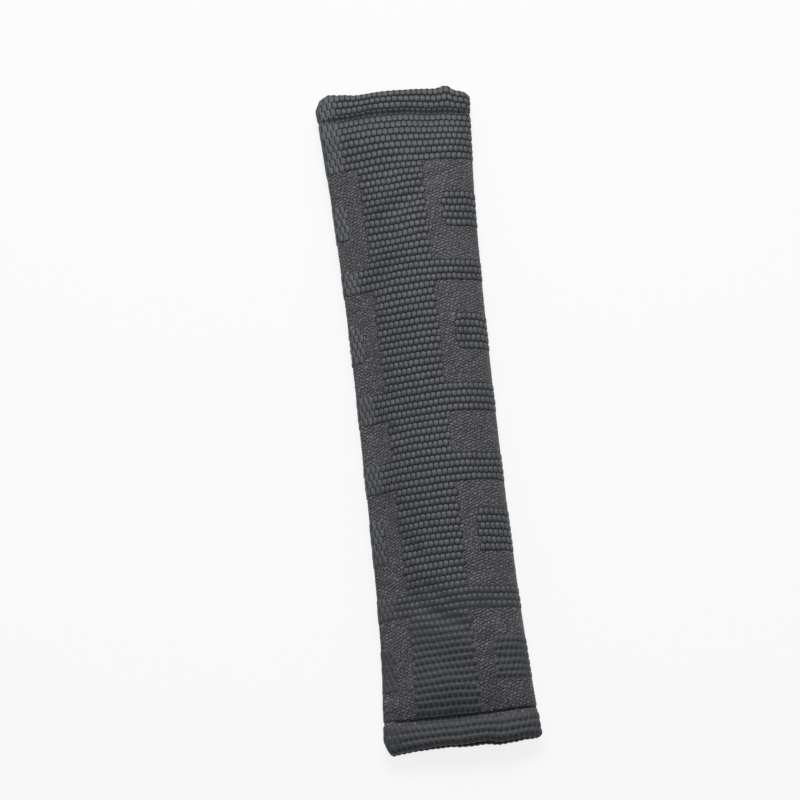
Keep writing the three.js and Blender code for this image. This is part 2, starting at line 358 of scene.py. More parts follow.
def bricks(across, along, width, height):
    """Which brick of a staggered wall a place is in, how far from its middle each way, and the middle.

    The distances go from 0 to 1. The even rows are half a brick behind, as those of a Brick texture are.
    """
    row = np.floor(along / height)
    lag = 0.5 * (1 - np.mod(row, 2))
    column = np.floor(across / width + lag)
    from_side = np.abs(2 * (across / width + lag - column) - 1)
    from_end = np.abs(2 * (along / height - row) - 1)
    return row, column, from_side, from_end, (column + 0.5 - lag) * width, (row + 0.5) * height


def weave_relief(weave, across, along):
    """Height of the cloth's face over its ground, and 1 for fine weave.

    The powers round off the sides, the ends and the crown of a float, and those of a strand. The last
    factor is how much the heights differ.
    """
    row, column, u, v, _, _ = bricks(across, along, weave.float_pitch, weave.course_pitch)
    fine = in_fine_cell(weave, across, along)
    closed = np.clip((weave.rib_reach - across) / weave.rib_fade, 0, 1)
    floats = np.clip(1 - 0.85 * u**2.4 - (1 - 0.85 * closed) * v**3.2, 0, 1) ** 0.6
    coarse = weave.float_height * floats * (1 + 0.24 * (scatter(row, column, FLOAT_RISE) - 0.5))

    slant = weave.strand_slant
    run = across * math.cos(slant) + along * math.sin(slant)
    over = along * math.cos(slant) - across * math.sin(slant)
    line, knot, p, q, _, _ = bricks(run, over, weave.strand_length, weave.strand_pitch)
    strands = np.clip((1 - q**2.2) * (1 - p**4), 0, 1) ** 0.7
    low = weave.strand_height * strands * (1 + 0.6 * (scatter(line, knot, STRAND_RISE) - 0.5))
    return np.where(fine, low, coarse), fine.astype(float)


# Meshes


def vertex_normals(points, faces):
    """Smooth directions at the vertices of a mesh of four-sided faces."""
    a, b, c, d = (points[faces[:, k]] for k in range(4))
    face = np.cross(c - a, d - b)
    total = np.zeros_like(points)
    for axis in range(3):
        total[:, axis] = np.bincount(faces.ravel(), np.repeat(face[:, axis], 4), len(points))
    return total / np.maximum(np.linalg.norm(total, axis=1), 1e-20)[:, None]


def grid_faces(rows, columns, first=0, closed=False):
    """Four-sided faces of a grid of points. A closed grid joins its last column to its first."""
    i, j = np.meshgrid(np.arange(rows - 1), np.arange(columns if closed else columns - 1), indexing="ij")
    after = (j + 1) % columns
    corners = [i * columns + j, i * columns + after, (i + 1) * columns + after, (i + 1) * columns + j]
    return first + np.stack(corners, axis=-1).reshape(-1, 4)


def grid_border(rows, columns):
    """The points all round a grid, in order."""
    index = np.arange(rows * columns).reshape(rows, columns)
    return np.concatenate([index[0, :], index[1:, -1], index[-1, -2::-1], index[-2:0:-1, 0]])


def add_piece(name, points, faces, material, flat=None, values=None, normals=None):
    """A shown piece of the pad, in the row frame, riding on the pad's one body."""
    mesh = bpy.data.meshes.new(name)
    mesh.from_pydata(np.asarray(points).tolist(), [], np.asarray(faces).tolist())
    corners = np.zeros(len(mesh.loops), np.int32)
    mesh.loops.foreach_get("vertex_index", corners)
    if flat is not None:
        cut = mesh.uv_layers.new(name="cut_cloth")
        cut.data.foreach_set("uv", np.asarray(flat, np.float32)[corners].ravel())
    for key, numbers in (values or {}).items():
        attribute = mesh.attributes.new(key, "FLOAT", "POINT")
        attribute.data.foreach_set("value", np.asarray(numbers, np.float32))
    mesh.shade_smooth()
    if normals is not None:
        mesh.normals_split_custom_set_from_vertices(np.asarray(normals).tolist())
    mesh.materials.append(material)
    piece = bpy.data.objects.new(name, mesh)
    bpy.context.scene.collection.objects.link(piece)
    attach(piece, BODY)
    return piece


def slab(sheet, across, along, outer, inner):
    """A closed sheet between two depths over a grid of places on the padded sheet."""
    rows, columns = across.shape
    count = rows * columns
    points = np.concatenate([
        sheet.folded(across, outer, along).reshape(-1, 3),
        sheet.folded(across, inner, along).reshape(-1, 3),
    ])
    border = grid_border(rows, columns)
    after = np.roll(border, -1)
    faces = np.concatenate([
        grid_faces(rows, columns)[:, ::-1],
        grid_faces(rows, columns, first=count),
        np.stack([border, after, after + count, border + count], axis=1),
    ])
    return points, faces


THREAD_END = 0.45  # how thick a thread is where it goes into the cloth, as a share


def threads(paths, radius, sides):
    """Round threads along paths, an array of threads by points by 3. They have an even number of sides."""
    along = np.gradient(paths, axis=1)
    along /= np.linalg.norm(along, axis=2)[..., None]
    bow = np.cross(along[:, :1], paths[:, [-1]] - 2 * paths[:, [paths.shape[1] // 2]] + paths[:, [0]])
    bow = bow + np.array([1e-7, 2e-7, 3e-7])  # a straight thread has no bow of its own
    side = np.cross(along, np.cross(bow, along))
    side = np.cross(along, side)
    side /= np.linalg.norm(side, axis=2)[..., None]
    other = np.cross(along, side)
    turn = np.linspace(0, 2 * math.pi, sides, endpoint=False)
    ring = side[:, :, None] * np.cos(turn)[:, None] + other[:, :, None] * np.sin(turn)[:, None]
    taper = np.ones(paths.shape[1])
    taper[[0, -1]] = THREAD_END
    points = paths[:, :, None] + radius * taper[:, None, None] * ring
    one = [grid_faces(paths.shape[1], sides, closed=True)]
    last = (paths.shape[1] - 1) * sides
    for k in range(1, sides - 2, 2):
        corners = [0, k, k + 1, k + 2]
        one.append(np.array([corners[::-1], [last + c for c in corners]]))
    step = paths.shape[1] * sides
    faces = np.concatenate(one)[None] + step * np.arange(len(paths))[:, None, None]
    return points.reshape(-1, 3), faces.reshape(-1, 4)


def part_of(faces, chosen):
    """The chosen faces with their vertices counted anew, and which vertices they are."""
    kept, renamed = np.unique(faces[chosen], return_inverse=True)
    return renamed.reshape(-1, 4), kept


# Stuffing


class Swelling:
    """How far the stuffing pushes the cover out, from a cloth simulation of a coarse shell of the pad.

    The shell is held along its hems, its long edges and its inside, and air pressure stands for the foam,
    so the cover bellies between its seams as sewn cloth does.
    """

    ACROSS = 44
    ALONG = 96
    FRAMES = 20
    PRESSURE = 4
    STIFFNESS = 25
    BENDING = 0.6
    SHRINK = -0.012  # the cloth is cut a little larger than the shell
    START = 0.0012  # how far inside the cover the shell starts
    DEEPEST = 0.4  # and no further than this share of the sheet
    MOST = 0.0014

    def __init__(self, sheet):
        self.sheet = sheet
        self.height = np.zeros((self.ALONG, self.ACROSS))
        self.height = self.settled()

    def settled(self):
        """How far each point of the shell's outer side has moved out past the cover."""
        sheet = self.sheet
        across = np.linspace(0, sheet.width, self.ACROSS)
        a, b = np.meshgrid(across, np.linspace(-sheet.seam, sheet.seam, self.ALONG))
        outer = sheet.folded(a, np.minimum(self.START, self.DEEPEST * sheet.thickness(a, b)), b)
        inner = sheet.folded(a, sheet.thickness(a, b), b)[:, ::-1]
        work = self.sewn_shell(np.concatenate([outer, inner], axis=1))
        self.inflate(work)
        seen = work.evaluated_get(bpy.context.evaluated_depsgraph_get())
        places = np.zeros(len(seen.data.vertices) * 3)
        seen.data.vertices.foreach_get("co", places)
        moved = places.reshape(self.ALONG, 2 * self.ACROSS, 3)[:, : self.ACROSS] - outer
        mesh = work.data
        bpy.data.objects.remove(work)
        bpy.data.meshes.remove(mesh)
        bpy.context.scene.frame_set(1)
        inward = sheet.at(a, b)
        pushed = -(moved[..., 0] * inward[..., 2] + moved[..., 2] * inward[..., 3])
        return np.clip(pushed - self.START, 0, self.MOST)

    def sewn_shell(self, shell):
        """The shell as a closed mesh, with the points that are sewn down in the group held."""
        columns = shell.shape[1]
        faces = grid_faces(self.ALONG, columns, closed=True).tolist()
        for row in (0, self.ALONG - 1):
            ring = [row * columns + k for k in range(columns)]
            for k in range(self.ACROSS - 1):
                quad = [ring[k], ring[k + 1], ring[columns - 2 - k], ring[columns - 1 - k]]
                faces.append(quad[::-1] if row == 0 else quad)
        mesh = bpy.data.meshes.new("shell")
        mesh.from_pydata(shell.reshape(-1, 3).tolist(), [], faces)
        work = bpy.data.objects.new("shell", mesh)
        bpy.context.scene.collection.objects.link(work)
        held = np.ones((self.ALONG, columns))
        held[1:-1, 2 : self.ACROSS - 2] = 0
        work.vertex_groups.new(name="held").add(np.flatnonzero(held.ravel()).tolist(), 1.0, "REPLACE")
        return work

    def inflate(self, work):
        cloth = work.modifiers.new("stuffing", "CLOTH")
        cloth.settings.use_pressure = True
        cloth.settings.uniform_pressure_force = self.PRESSURE
        cloth.settings.vertex_group_mass = "held"
        cloth.settings.effector_weights.gravity = 0
        cloth.settings.tension_stiffness = self.STIFFNESS
        cloth.settings.compression_stiffness = self.STIFFNESS
        cloth.settings.bending_stiffness = self.BENDING
        cloth.settings.shrink_min = self.SHRINK
        cloth.collision_settings.use_collision = False
        for number in range(1, self.FRAMES + 1):
            bpy.context.scene.frame_set(number)

    def at(self, across, along):
        """A smooth reading between the shell's points, by cubic B-splines."""
        seam = self.sheet.seam
        u = np.clip(across / self.sheet.width, 0, 1) * (self.ACROSS - 1)
        v = np.clip((along + seam) / (2 * seam), 0, 1) * (self.ALONG - 1)
        i, j = np.floor(u).astype(int), np.floor(v).astype(int)
        total = np.zeros(np.broadcast(u, v).shape)
        for di in range(-1, 3):
            for dj in range(-1, 3):
                row, column = np.clip(j + dj, 0, self.ALONG - 1), np.clip(i + di, 0, self.ACROSS - 1)
                total += spline_weight(u - i - di) * spline_weight(v - j - dj) * self.height[row, column]
        return total


def spline_weight(distance):
    d = np.abs(distance)
    return np.where(d < 1, 2 / 3 - d * d + d**3 / 2, np.where(d < 2, (2 - d) ** 3 / 6, 0))


# The cover


class Cover:
    """The woven cover as one skin: its outer face, the edge rolled all round, and the cloth turned in."""

    FLOAT_STEPS = 6
    COURSE_STEPS = 6
    UPPER_FLOATS = 29  # as many floats across are the upper flap's piece
    FOLD_PAST_MIDDLE = 0.002
    ROLL_STEPS = 8
    TURNED = (0.0008, 0.0016, 0.0024, 0.0036, 0.0056)  # rings of the cloth that is turned in
    TUCK = 0.0007  # how far its last rings go under the lining
    CORNER_ROOM = 0.8  # share of a corner's radius that the turned cloth can take
    PRESSED = 0.9  # share of a float's height that is pressed flat underneath and behind the hems

    # How strong each unevenness is, and how long its swells are.
    SHIFT = (0.00032, 0.009)
    RUN = (0.00040, 0.013)
    SHAKE = (0.00016, 0.004)
    PUCKER = (0.00030, 0.0075)
    SAG = (0.00030, 0.030)
    PUCKER_REACH = 0.006
    ENDS_APART = 5.0  # metres, so that each end has its own puckers

    GROOVE_WIDTH = 0.0006
    HEM_BULGE, HEM_BULGE_WIDTH = 0.00035, 0.0034
    HEM_MIDDLE = 0.55  # where a hem bulges most, as a share of it
    SIDE_REACH = 0.008
    SIDE_SHARE, INNER_SHARE = 0.35, 0.65  # of the sewing's relief, at the pad's sides and added inside them

    # How far sewing has moved each end and each seam outwards, at places across the pad, in millimetres.
    FAR_END = (
        (-33, -31, -27, -23, -15, -5, 8, 19, 23.5, 28, 31, 33),
        (-2.4, 0.3, 1.9, 1.3, 0.2, 0.4, 0.0, -0.8, 0.2, -2.3, -2.6, -3.6),
    )
    FAR_SEAM = ((-33, -27, -12, 3, 18, 33), (1.0, 1.1, 1.5, 1.0, -0.5, -1.5))
    NEAR_END = (
        (-33, -31, -25, -18, -12, -5, 0, 10, 16, 22, 27, 33),
        (-1.2, 1.2, 0.5, 0.0, -0.4, -0.6, 0.0, -0.2, 0.7, 0.2, -0.3, -0.4),
    )
    NEAR_SEAM = ((-33, -12, 8, 27, 33), (-1.1, -0.3, 0.0, -1.4, -1.6))
    STRAY_REACH = 0.028
    # How much wider the stuffed cover is than its solid, as a share: at its right side, and at its left
    # side at places along it, in millimetres.
    SIDE_SWELL = 0.030
    LEFT_SWELL = (
        (-150, -133, -116, -89, -62, -45, -20, 150),
        (0.0, 0.0, -0.024, -0.012, 0.004, 0.015, 0.030, 0.030),
    )

    def __init__(self, sizes, weave):
        self.sizes, self.weave = sizes, weave
        self.sheet = FoldedSheet(sizes)
        self.swelling = Swelling(self.sheet)
        self.roll = sizes.hem_thickness / 2
        self.fold_start = self.sheet.width / 2 + self.FOLD_PAST_MIDDLE
        self.pressed = self.PRESSED * weave.float_height
        self.make_outer()
        self.make_roll()
        self.raise_weave()

    def make_outer(self):
        """The outer face's grid, with lines on the borders of the floats and corners that are cut round."""
        low, high = self.roll, self.sheet.width - self.roll
        reach = self.sheet.half - self.roll
        across = self.lines(low, high, self.weave.float_pitch / self.FLOAT_STEPS)
        along = self.lines(-reach, reach, self.weave.course_pitch / self.COURSE_STEPS)
        near = np.argmin(np.abs(along + self.sheet.seam))
        along[near], along[len(along) - 1 - near] = -self.sheet.seam, self.sheet.seam
        bend = self.sizes.corner_radius - self.roll
        a, b = np.meshgrid(across, along)
        p = (np.maximum(a - (high - bend), 0) - np.maximum(low + bend - a, 0)) / bend
        q = (np.maximum(b - (reach - bend), 0) - np.maximum(bend - reach - b, 0)) / bend
        outward_p = p * np.sqrt(1 - q * q / 2)
        outward_q = q * np.sqrt(1 - p * p / 2)
        self.plan = np.stack([
            np.clip(a, low + bend, high - bend) + bend * outward_p,
            np.clip(b, bend - reach, reach - bend) + bend * outward_q,
        ], axis=-1)
        self.outward = np.stack([outward_p, outward_q], axis=-1)

    def lines(self, low, high, step):
        """Grid lines from low to high that meet the middle and both ends of every float or course."""
        first, last = math.ceil(low / step + 0.4), math.floor(high / step - 0.4)
        return np.concatenate([[low], np.arange(first, last + 1) * step, [high]])

    def make_roll(self):
        """Rings of points round the rolled edge and in behind it, and the faces of the whole skin."""
        rows, columns = self.plan.shape[:2]
        outer = self.plan.reshape(-1, 2)
        border = grid_border(rows, columns)
        start = outer[border]
        outward = self.outward.reshape(-1, 2)[border]
        places, depths, cloth = [], [], []
        for step in range(1, self.ROLL_STEPS + 1):
            turn = math.pi * step / self.ROLL_STEPS
            places.append(start + outward * self.roll * math.sin(turn))
            depths.append(np.full(len(border), self.roll * (1 - math.cos(turn))))
            cloth.append(start + outward * self.roll * turn)
        corner = np.clip(3 * np.abs(outward[:, 0] * outward[:, 1]), 0, 1)[:, None]
        room = self.CORNER_ROOM * (self.sizes.corner_radius - self.roll)
        for turned in self.TURNED:
            place = start - outward * (turned * (1 - corner) + min(turned, room) * corner)
            places.append(place)
            under = self.TUCK if turned > self.sizes.edge_hem else 0.0
            depths.append(self.sheet.thickness(place[:, 0], place[:, 1]) - under)
            cloth.append(start + outward * (self.roll * math.pi + turned))
        self.place = np.concatenate([outer, *places])
        self.depth = np.concatenate([np.zeros(len(outer)), *depths])
        self.cloth = np.concatenate([outer, *cloth])
        after = np.roll(np.arange(len(border)), -1)
        faces = [grid_faces(rows, columns)]
        previous = border
        for ring in range(len(places)):
            current = len(outer) + ring * len(border) + np.arange(len(border))
            faces.append(np.stack([previous, current, current[after], previous[after]], axis=1))
            previous = current
        self.faces = np.concatenate(faces)

    def stray(self, x, along):
        """How far sewing through soft layers has moved the cloth along Y, near the ends."""
        moved = 0.0
        for side, end, seam in ((1, self.FAR_END, self.FAR_SEAM), (-1, self.NEAR_END, self.NEAR_SEAM)):
            at_end, at_seam = (MILLIMETRE * smoothed(x / MILLIMETRE, *points) for points in (end, seam))
            past_seam = np.clip((side * along - self.sheet.seam) / self.sizes.end_hem, 0, 1)
            inside = ease(1 - (self.sheet.seam - side * along) / self.STRAY_REACH)
            moved = moved + side * inside * (at_seam + (at_end - at_seam) * past_seam)
        return moved

    def spread(self, x, along):
        """X where the stuffing has moved the cloth sideways."""
        left = smoothed(along / MILLIMETRE, *self.LEFT_SWELL)
        return x * (1 + np.where(x < 0, left, self.SIDE_SWELL))

    def uneven(self, strength_and_size, across, along, layer):
        strength, size = strength_and_size
        return strength * drift(across, along, size, layer)

    def wander(self, across, along):
        """Unevenness of the cloth in its own plane: how far its yarns lie off their places, each way."""
        free = ease(np.minimum(across, self.sheet.width - across) / self.SIDE_REACH - 0.3)
        run = self.uneven(self.RUN, across, along, YARN_RUN)
        shake = self.uneven(self.SHAKE, across, along, YARN_SHAKE)
        return self.uneven(self.SHIFT, across, along, YARN_SHIFT) * free, run + shake

    def lift(self, across, along):
        """How far the cover's face stands out from its smooth form, before the weave."""
        sheet = self.sheet
        to_seam = np.abs(np.abs(along) - sheet.seam)
        groove = -self.weave.seam_groove * np.exp(-((to_seam / self.GROOVE_WIDTH) ** 2))
        hem_middle = sheet.seam + self.HEM_MIDDLE * self.sizes.end_hem
        hem = self.HEM_BULGE * np.exp(-(((np.abs(along) - hem_middle) / self.HEM_BULGE_WIDTH) ** 2))
        pucker = self.uneven(self.PUCKER, across, np.sign(along) * self.ENDS_APART, PUCKERS)
        pucker = pucker * np.exp(-to_seam / self.PUCKER_REACH)
        from_side = np.minimum(np.abs(across), np.abs(self.fold_start - across)) / self.SIDE_REACH
        from_side = np.where(across > self.fold_start, 0.0, from_side)
        sewn = (groove + hem + pucker) * (self.SIDE_SHARE + self.INNER_SHARE * ease(from_side))
        sag = self.uneven(self.SAG, across, along, SAGS)
        swell = self.swelling.at(across, along) * (np.abs(along) < sheet.seam)
        on_top = 1 - sheet.underneath(across)
        return sewn + sag * on_top + swell * on_top

    def raise_weave(self):
        """The skin's points: folded, moved by the sewing and the stuffing, and raised by the weave."""
        across, along = self.place[:, 0], self.place[:, 1]
        off_across, off_along = self.wander(across, along)
        base = self.sheet.folded(across + off_across, self.depth, along + off_along)
        base[:, 1] += self.stray(base[:, 0], along)
        base[:, 0] = self.spread(base[:, 0], along)
        outward = vertex_normals(base, self.faces)
        inward = self.sheet.at(across, along)
        if np.sum(outward[:, 0] * inward[:, 2] + outward[:, 2] * inward[:, 3]) > 0:
            self.faces = self.faces[:, ::-1]
            outward = -outward
        relief, self.fine = weave_relief(self.weave, self.cloth[:, 0], self.cloth[:, 1])
        outer = self.depth < self.roll
        height = relief - self.pressed * np.where(outer, self.sheet.underneath(across), 1.0)
        height = height + np.where(outer, self.lift(across, along), 0.0)
        self.points = base + outward * height[:, None]
        self.points[:, 2] = np.maximum(self.points[:, 2], 0.0)
        self.normals = vertex_normals(self.points, self.faces)

    def pieces(self):
        """Which faces each piece has: two hems and, between their seams, the upper and lower flap."""
        middle = self.place[self.faces].mean(axis=1)
        far, near = middle[:, 1] > self.sheet.seam, middle[:, 1] < -self.sheet.seam
        upper = middle[:, 0] < self.UPPER_FLOATS * self.weave.float_pitch
        between = ~far & ~near
        return {
            "cover_upper": between & upper,
            "cover_lower": between & ~upper,
            "hem_far": far,
            "hem_near": near,
        }


# Materials


FACTOR, FIRST_COLOUR, SECOND_COLOUR, MIXED = 0, 6, 7, 2  # sockets of a Mix node that mixes colours
WAVE_PERIOD = 0.314159  # a Wave texture's period at scale 1
BRICK_SCALE = 250.0  # keeps a Brick texture's sizes within the range of its sockets
WHITE = (1.0, 1.0, 1.0, 1.0)


def add_node(tree, kind, inputs=None, **settings):
    """The outputs of a new node. Each input is a plain value, or another node's output, which is linked."""
    node = tree.nodes.new("ShaderNode" + kind)
    for name, value in settings.items():
        setattr(node, name, value)
    for socket, value in (inputs or {}).items():
        if isinstance(value, bpy.types.NodeSocket):
            tree.links.new(value, node.inputs[socket])
        else:
            node.inputs[socket].default_value = value
    return node.outputs


def new_material(name):
    """An empty material, and the tree that its nodes go into."""
    material = bpy.data.materials.new(name)
    material.use_nodes = True
    material.node_tree.nodes.clear()
    return material, material.node_tree


def tone(colour, share=1.0):
    """A share of a colour, with its alpha."""
    return [*(share * c for c in colour), 1.0]


def per(millimetres):
    """The scale that gives a texture cells of the given size."""
    return 1 / (millimetres * MILLIMETRE)


def float_crowns_and_shade(tree, place, weave):
    """1 on the crown of each float and 0 in the ground round it.

    A float is rounded at its ends, so that the ground shows most where three of them meet. The soft fall from
    crown to ground darkens each float's sides in the colour, as painted shade.
    """
    rows = add_node(tree, "Math", {0: place["Y"], 1: weave.course_pitch}, operation="DIVIDE")["Value"]
    row = add_node(tree, "Math", {0: rows}, operation="FLOOR")["Value"]
    odd = add_node(tree, "Math", {0: row, 1: 2.0}, operation="MODULO")["Value"]
    lag = add_node(tree, "Math", {0: odd, 1: -0.5, 2: 0.5}, operation="MULTIPLY_ADD")["Value"]
    columns = {0: place["X"], 1: 1 / weave.float_pitch, 2: lag}
    columns = add_node(tree, "Math", columns, operation="MULTIPLY_ADD")["Value"]
    borders = []
    for count, roundness in ((columns, 2.6), (rows, 3.6)):
        inside = add_node(tree, "Math", {0: count, 1: 0.5}, operation="PINGPONG")["Value"]
        border = add_node(tree, "Math", {0: inside, 1: -2.0, 2: 1.0}, operation="MULTIPLY_ADD")["Value"]
        borders.append(add_node(tree, "Math", {0: border, 1: roundness}, operation="POWER")["Value"])
    side, end = borders
    # Beside the closing edge the floats' ends meet, and they read as ribs along the edge.
    opened = add_node(
        tree, "MapRange",
        {"Value": place["X"], "From Min": weave.rib_reach - weave.rib_fade, "From Max": weave.rib_reach,
         "To Min": 0.15, "To Max": 1.0},
    )["Result"]
    end = add_node(tree, "Math", {0: end, 1: opened}, operation="MULTIPLY")["Value"]
    out = add_node(tree, "Math", {0: side, 1: 0.88, 2: end}, operation="MULTIPLY_ADD")["Value"]
    # The smooth fall from crown to ground darkens each float's sides: painted shade.
    span = {"Value": out, "From Min": 0.96, "From Max": 0.22}
    return add_node(tree, "MapRange", span, interpolation_type="SMOOTHSTEP")["Result"]


def coarse_colours(tree, cloth, place, shown, colours, weave):
    """The coarse weave: each float is one brick of a staggered wall, with its own tone, over the ground."""
    yarn = colours.float_yarn
    # The brick's darker mortar round each float, like the near-black ground, is partly painted shade.
    floats = add_node(
        tree, "TexBrick",
        {"Vector": cloth, "Color1": tone(yarn, 0.86), "Color2": tone(yarn, 1.14), "Mortar": tone(yarn, 0.75),
         "Scale": BRICK_SCALE, "Mortar Size": 0.30 * MILLIMETRE * BRICK_SCALE, "Mortar Smooth": 1.0,
         "Brick Width": weave.float_pitch * BRICK_SCALE, "Row Height": weave.course_pitch * BRICK_SCALE},
    )["Color"]
    # Painted shade and painted glint at the near end: the floats are dimmed towards 30 % and the ground
    # between them is lightened into a pale net.
    fully_near_shaded = weave.near_shade_start - weave.near_shade_fade
    near_shade = {"Value": place["Y"], "From Min": weave.near_shade_start, "From Max": fully_near_shaded}
    near_shade = add_node(tree, "MapRange", near_shade)["Result"]
    ground = {FACTOR: near_shade, FIRST_COLOUR: tone(colours.ground_yarn_and_shade), SECOND_COLOUR: tone(colours.near_end_painted_glint)}
    ground = add_node(tree, "Mix", ground, data_type="RGBA")[MIXED]
    near_shade_dimming = add_node(tree, "MapRange", {"Value": near_shade, "To Min": 1.0, "To Max": 0.30})["Result"]
    floats = add_node(tree, "HueSaturation", {"Color": floats, "Value": near_shade_dimming})["Color"]
    mixed = {FACTOR: shown, FIRST_COLOUR: ground, SECOND_COLOUR: floats}
    return add_node(tree, "Mix", mixed, data_type="RGBA")[MIXED]


def fine_strands(tree, cloth, colours, weave):
    """The fine weave's strands are bricks of a slanted wall, bent a little by how the yarns crowd."""
    crowd = add_node(tree, "TexNoise", {"Vector": cloth, "Scale": per(2.6316), "Detail": 1.0})["Color"]
    crowd = add_node(tree, "VectorMath", {0: crowd, 1: (0.5, 0.5, 0.5)}, operation="SUBTRACT")["Vector"]
    bent = {0: crowd, 1: (2.3 * MILLIMETRE,) * 3, 2: cloth}
    bent = add_node(tree, "VectorMath", bent, operation="MULTIPLY_ADD")["Vector"]
    turned = {"Vector": bent, "Rotation": (0.0, 0.0, -weave.strand_slant)}
    turned = add_node(tree, "Mapping", turned)["Vector"]
    yarn = colours.fine_yarn
    # The near-black mortar between the strands is partly the weave's own gaps and partly painted shade.
    return add_node(
        tree, "TexBrick",
        {"Vector": turned, "Color1": tone(yarn, 0.68), "Color2": tone(yarn, 1.32), "Mortar": tone(yarn, 0.10),
         "Scale": BRICK_SCALE, "Mortar Size": 0.28 * MILLIMETRE * BRICK_SCALE, "Mortar Smooth": 0.9,
         "Brick Width": weave.strand_length * BRICK_SCALE, "Row Height": weave.strand_pitch * BRICK_SCALE},
    )


def dyed(tree, cloth, woven):
    """The woven colours as dye takes them, a little unevenly, over 25 mm and from yarn to yarn."""
    levels = {}
    for size, detail, change in ((1.42857, 1.0, 0.18), (25, 2.0, 0.10)):
        patches = add_node(tree, "TexNoise", {"Vector": cloth, "Scale": per(size), "Detail": detail})["Fac"]
        span = {"From Min": 0.3, "From Max": 0.7, "To Min": 1 - change, "To Max": 1 + change}
        levels[len(levels)] = add_node(tree, "MapRange", {"Value": patches, **span})["Result"]
    value = add_node(tree, "Math", levels, operation="MULTIPLY")["Value"]
    return add_node(tree, "HueSaturation", {"Color": woven, "Value": value})["Color"]


def woven_polyester(colours, weave):
    """Solution-dyed polyester, woven on a jacquard loom from bundles of bright filaments.

    It gives the eye dull charcoal floats, each with a soft gleam on its crown, over a ground so dark that
    every float is outlined; the ground's darkness and the darker sides of the floats are partly painted
    shade.
    At the near end, painted shade dims the floats and a painted glint lightens the ground between them. The
    fine weave has short slanted strands, scatters light more evenly and looks flatter and browner.
    """
    material, tree = new_material("woven_polyester_jacquard")
    cloth = add_node(tree, "UVMap", uv_map="cut_cloth")["UV"]
    fine = add_node(tree, "Attribute", attribute_name="fine_weave")["Fac"]
    place = add_node(tree, "SeparateXYZ", {"Vector": cloth})
    # shown is 1 on the floats' crowns; its soft sides darken the floats and let the dark ground through,
    # partly as painted shade.
    shown = float_crowns_and_shade(tree, place, weave)
    floats = coarse_colours(tree, cloth, place, shown, colours, weave)
    strands = fine_strands(tree, cloth, colours, weave)
    woven = {FACTOR: fine, FIRST_COLOUR: floats, SECOND_COLOUR: strands["Color"]}
    woven = add_node(tree, "Mix", woven, data_type="RGBA")[MIXED]
    # A float is a bundle of filaments. Real ones are 0.02 mm thick; 0.45 mm is as fine as can be seen.
    filaments = add_node(
        tree, "TexWave",
        {"Vector": cloth, "Scale": WAVE_PERIOD * per(0.45), "Distortion": 2.5, "Detail": 2.0},
        wave_type="BANDS", bands_direction="X",
    )["Fac"]
    fuzz = add_node(tree, "TexNoise", {"Vector": cloth, "Scale": per(0.714286), "Detail": 2.0})["Fac"]
    sunk = add_node(tree, "Math", {0: strands["Fac"], 1: fine}, operation="MULTIPLY")["Value"]
    below = {}
    for height, strength, size in ((filaments, 0.4, 0.12), (fuzz, 0.4, 0.1), (sunk, 0.9, 0.30)):
        bump = {"Strength": strength, "Distance": size * MILLIMETRE, "Height": height, **below}
        below = {"Normal": add_node(tree, "Bump", bump, invert=height is sunk)["Normal"]}
    rough = add_node(tree, "MapRange", {"Value": shown, "To Min": 0.90, "To Max": 0.42})["Result"]
    rough = add_node(tree, "MapRange", {"Value": fine, "To Min": rough, "To Max": 0.60})["Result"]
    shader = add_node(
        tree, "BsdfPrincipled",
        {"Base Color": dyed(tree, cloth, woven), "Roughness": rough, **below, "IOR": 1.54,
         "Sheen Weight": 0.06, "Sheen Roughness": 0.4, "Sheen Tint": (0.8, 0.83, 0.9, 1.0)},
    )
    add_node(tree, "OutputMaterial", {"Surface": shader["BSDF"]})
    return material


def grained(name, colour, hollow_shade, patterns, look, span=(0.0, 1.0)):
    """A material of one colour with a grain.

    Each pattern is a texture's kind, output, inputs and settings, and its bump's strength and size in mm.
    The last pattern also darkens the colour in its hollows, as painted shade, to the given share at the lower
    end of its span.
    """
    material, tree = new_material(name)
    place = add_node(tree, "TexCoord")["Object"]
    below = {}
    for kind, output, inputs, settings, strength, size in patterns:
        height = add_node(tree, kind, {"Vector": place, **inputs}, **settings)[output]
        bump = {"Strength": strength, "Distance": size * MILLIMETRE, "Height": height, **below}
        below = {"Normal": add_node(tree, "Bump", bump)["Normal"]}
    shade = add_node(tree, "MapRange", {"Value": height, "From Min": span[0], "From Max": span[1]})["Result"]
    shades = {FACTOR: shade, FIRST_COLOUR: tone(colour, hollow_shade), SECOND_COLOUR: tone(colour)}
    shades = add_node(tree, "Mix", shades, data_type="RGBA")[MIXED]
    shader = add_node(tree, "BsdfPrincipled", {"Base Color": shades, **below, **look})
    add_node(tree, "OutputMaterial", {"Surface": shader["BSDF"]})
    return material


def brushed_lining(colours):
    """Warp-knitted polyester, brushed on its face.

    It gives the eye a smooth, even dark cloth with faint wales.
    """
    wales = {"Scale": WAVE_PERIOD * per(0.9), "Distortion": 1.2, "Detail": 1.0}
    nap = {"Scale": per(1.11111), "Detail": 4.0}
    patterns = [
        ("TexWave", "Fac", wales, {"wave_type": "BANDS", "bands_direction": "X"}, 0.3, 0.1),
        ("TexNoise", "Fac", nap, {}, 0.4, 0.1),
    ]
    look = {"Roughness": 0.6, "IOR": 1.54, "Sheen Weight": 0.3, "Sheen Roughness": 0.4}
    return grained("brushed_tricot_lining", colours.lining, 0.75, patterns, look)


